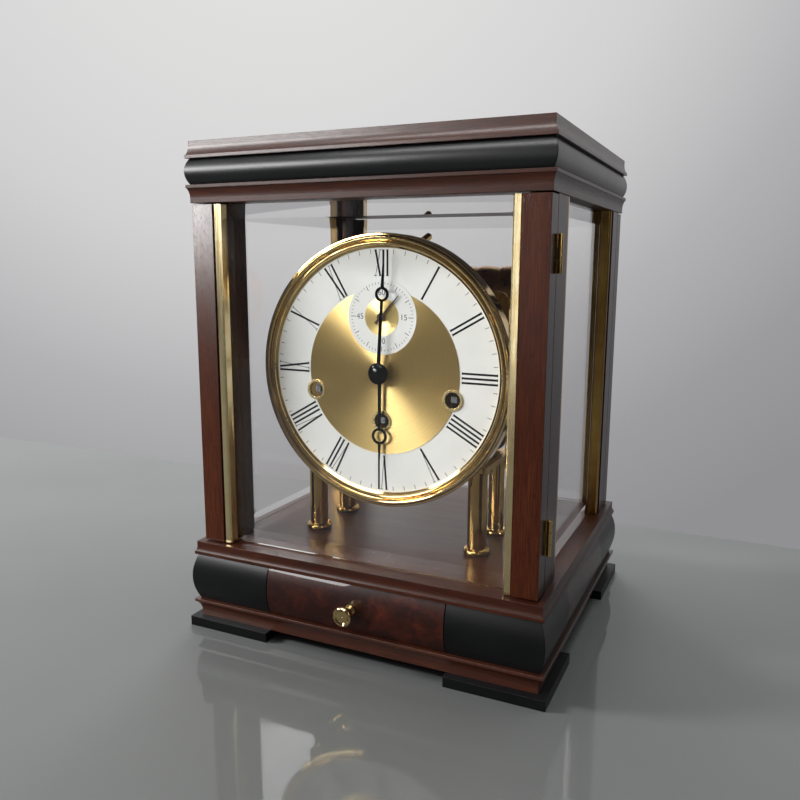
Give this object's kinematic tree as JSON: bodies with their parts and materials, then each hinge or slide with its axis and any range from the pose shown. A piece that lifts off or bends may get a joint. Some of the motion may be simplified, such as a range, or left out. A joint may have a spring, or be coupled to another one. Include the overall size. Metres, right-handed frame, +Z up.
{
  "type": "chiming table clock",
  "caption": "Chiming table clock: glazed wooden case with front and rear doors, base with a drawer, round dial with hands, key-wound movement, nested bells and hammers.",
  "frame": {"origin": "on the standing surface, under the middle of the whole footprint, drawer knob included", "axes": "+Z up, the dial faces -Y, +X to the right of a viewer who faces the dial"},
  "size_m": [0.2246, 0.209, 0.29],
  "materials": {
    "walnut": "satin",
    "black_lacquer": "satin lacquer",
    "burl_veneer": "gloss lacquer",
    "plain_wood": "matt",
    "glass": "clear",
    "brass": "polished, lacquered",
    "bell_metal": "polished",
    "silvered_dial": "silvered, matt",
    "black_steel": "satin black",
    "steel": "polished"
  },
  "bodies": {
    "case": {"feet": "black_lacquer", "base_board": "walnut", "base_corner_blocks": "black_lacquer", "base_panels": "burl_veneer", "drawer_guides": "plain_wood", "case_floor": "walnut", "corner_posts": "walnut", "side_glass": "glass", "side_strips": "brass", "under_board": "walnut", "frieze": "black_lacquer", "top_board": "walnut", "case_hinges": "brass", "movement_pillars": "brass", "seat_plate": "brass", "front_plate": "brass", "back_plate": "brass", "plate_pillars": "brass", "dial_plate": "silvered_dial", "centre_disc": "brass", "seconds_dial": "silvered_dial", "bezel": "brass", "winding_eyelets": "brass", "clicks": "steel", "platform": "brass", "bell_stand": "brass", "bells": "bell_metal"},
    "front_door": {"front_door_stiles": "walnut", "front_door_glass": "glass", "front_door_strips": "brass", "front_door_leaves": "brass"},
    "rear_door": {"rear_door_stiles": "walnut", "rear_door_glass": "glass", "rear_door_strips": "brass", "rear_door_leaves": "brass"},
    "drawer": {"drawer_front": "burl_veneer", "drawer_box": "plain_wood", "drawer_knob": "brass"},
    "minute_train": {"minute_hand": "black_steel", "centre_wheel": "brass"},
    "hour_train": {"hour_hand": "black_steel", "hour_wheel": "brass"},
    "seconds_train": {"second_hand": "black_steel"},
    "minute_wheel": {"minute_wheel": "brass"},
    "third_wheel": {"third_wheel": "brass"},
    "intermediate_wheel": {"intermediate_wheel": "brass"},
    "time_barrel": {"time_barrel": "brass"},
    "chime_barrel": {"chime_barrel": "brass"},
    "strike_barrel": {"strike_barrel": "brass"},
    "time_winding_arbor": {"time_winding_arbor": "steel"},
    "chime_winding_arbor": {"chime_winding_arbor": "steel"},
    "strike_winding_arbor": {"strike_winding_arbor": "steel"},
    "balance_wheel": {"balance_wheel": "brass"},
    "chime_arbor": {"chime_arbor": "brass"},
    "chime_drum": {"chime_drum": "brass"},
    "quarter_hammer_1": {"quarter_hammer_1": "brass"},
    "quarter_hammer_2": {"quarter_hammer_2": "brass"},
    "quarter_hammer_3": {"quarter_hammer_3": "brass"},
    "quarter_hammer_4": {"quarter_hammer_4": "brass"},
    "hour_hammer": {"hour_hammer": "brass"}
  },
  "joints": [
    {"name": "front_door_hinge", "type": "hinge", "parent": "case", "child": "front_door", "pos_m": [0.1061, -0.0753, 0.155], "axis": [0, 0, 1], "range_deg": [0, 110]},
    {"name": "rear_door_hinge", "type": "hinge", "parent": "case", "child": "rear_door", "pos_m": [-0.1061, 0.0844, 0.155], "axis": [0, 0, 1], "range_deg": [0, 110]},
    {"name": "drawer_slide", "type": "slide", "parent": "case", "child": "drawer", "axis": [0, -1, 0], "range_m": [0, 0.085]},
    {"name": "minute_hand_turn", "type": "hinge", "parent": "case", "child": "minute_train", "pos_m": [0, -0.01625, 0.1605], "axis": [0, 1, 0], "continuous": true},
    {"name": "hour_hand_turn", "type": "hinge", "parent": "case", "child": "hour_train", "pos_m": [0, -0.01625, 0.1605], "axis": [0, 1, 0], "continuous": true},
    {"name": "minute_wheel_turn", "type": "hinge", "parent": "case", "child": "minute_wheel", "pos_m": [0.00983, -0.01625, 0.16738], "axis": [0, 1, 0], "continuous": true},
    {"name": "third_wheel_turn", "type": "hinge", "parent": "case", "child": "third_wheel", "pos_m": [0.006, -0.01625, 0.17842], "axis": [0, 1, 0], "continuous": true},
    {"name": "second_hand_turn", "type": "hinge", "parent": "case", "child": "seconds_train", "pos_m": [0, -0.01625, 0.1925], "axis": [0, 1, 0], "continuous": true},
    {"name": "intermediate_wheel_turn", "type": "hinge", "parent": "case", "child": "intermediate_wheel", "pos_m": [-0.01386, -0.01625, 0.14788], "axis": [0, 1, 0], "continuous": true},
    {"name": "time_barrel_turn", "type": "hinge", "parent": "case", "child": "time_barrel", "pos_m": [0, -0.01625, 0.1321], "axis": [0, 1, 0], "continuous": true},
    {"name": "chime_barrel_turn", "type": "hinge", "parent": "case", "child": "chime_barrel", "pos_m": [0.0439, -0.01625, 0.1477], "axis": [0, 1, 0], "continuous": true},
    {"name": "chime_arbor_turn", "type": "hinge", "parent": "case", "child": "chime_arbor", "pos_m": [0.04025, -0.01625, 0.12702], "axis": [0, 1, 0], "continuous": true},
    {"name": "chime_drum_turn", "type": "hinge", "parent": "case", "child": "chime_drum", "pos_m": [0.00685, 0.01357, 0.12702], "axis": [1, 0, 0], "continuous": true},
    {"name": "strike_barrel_turn", "type": "hinge", "parent": "case", "child": "strike_barrel", "pos_m": [-0.0439, -0.01625, 0.1477], "axis": [0, 1, 0], "continuous": true},
    {"name": "time_winding", "type": "hinge", "parent": "case", "child": "time_winding_arbor", "pos_m": [0, -0.01625, 0.1321], "axis": [0, 1, 0], "continuous": true},
    {"name": "chime_winding", "type": "hinge", "parent": "case", "child": "chime_winding_arbor", "pos_m": [0.0439, -0.01625, 0.1477], "axis": [0, 1, 0], "continuous": true},
    {"name": "strike_winding", "type": "hinge", "parent": "case", "child": "strike_winding_arbor", "pos_m": [-0.0439, -0.01625, 0.1477], "axis": [0, 1, 0], "continuous": true},
    {"name": "balance_swing", "type": "hinge", "parent": "case", "child": "balance_wheel", "pos_m": [0, -0.01625, 0.2109], "axis": [0, 0, 1], "range_deg": [-270, 270], "stiffness_Nm_per_rad": 0.00002},
    {"name": "quarter_hammer_1_lift", "type": "hinge", "parent": "case", "child": "quarter_hammer_1", "pos_m": [-0.00965, 0.02657, 0.11552], "axis": [1, 0, 0], "range_deg": [0, 6], "stiffness_Nm_per_rad": 0.01, "springref_deg": -8.59},
    {"name": "quarter_hammer_2_lift", "type": "hinge", "parent": "case", "child": "quarter_hammer_2", "pos_m": [0.00135, 0.02657, 0.11552], "axis": [1, 0, 0], "range_deg": [0, 6], "stiffness_Nm_per_rad": 0.01, "springref_deg": -8.59},
    {"name": "quarter_hammer_3_lift", "type": "hinge", "parent": "case", "child": "quarter_hammer_3", "pos_m": [0.01235, 0.02657, 0.11552], "axis": [1, 0, 0], "range_deg": [0, 6], "stiffness_Nm_per_rad": 0.01, "springref_deg": -8.59},
    {"name": "quarter_hammer_4_lift", "type": "hinge", "parent": "case", "child": "quarter_hammer_4", "pos_m": [0.02335, 0.02657, 0.11552], "axis": [1, 0, 0], "range_deg": [0, 6], "stiffness_Nm_per_rad": 0.01, "springref_deg": -8.59},
    {"name": "hour_hammer_fall", "type": "hinge", "parent": "case", "child": "hour_hammer", "pos_m": [-0.016, 0.01275, 0.228], "axis": [1, 0, 0], "range_deg": [-18, 2]}
  ],
  "couplings": [
    {"joint": "hour_hand_turn", "follows": "minute_hand_turn", "ratio": 0.083333},
    {"joint": "minute_wheel_turn", "follows": "minute_hand_turn", "ratio": -0.33333},
    {"joint": "third_wheel_turn", "follows": "minute_hand_turn", "ratio": -8},
    {"joint": "second_hand_turn", "follows": "minute_hand_turn", "ratio": 60},
    {"joint": "intermediate_wheel_turn", "follows": "minute_hand_turn", "ratio": -0.25},
    {"joint": "time_barrel_turn", "follows": "minute_hand_turn", "ratio": 0.041667},
    {"joint": "chime_arbor_turn", "follows": "chime_barrel_turn", "ratio": -6},
    {"joint": "chime_drum_turn", "follows": "chime_barrel_turn", "ratio": 12}
  ]
}
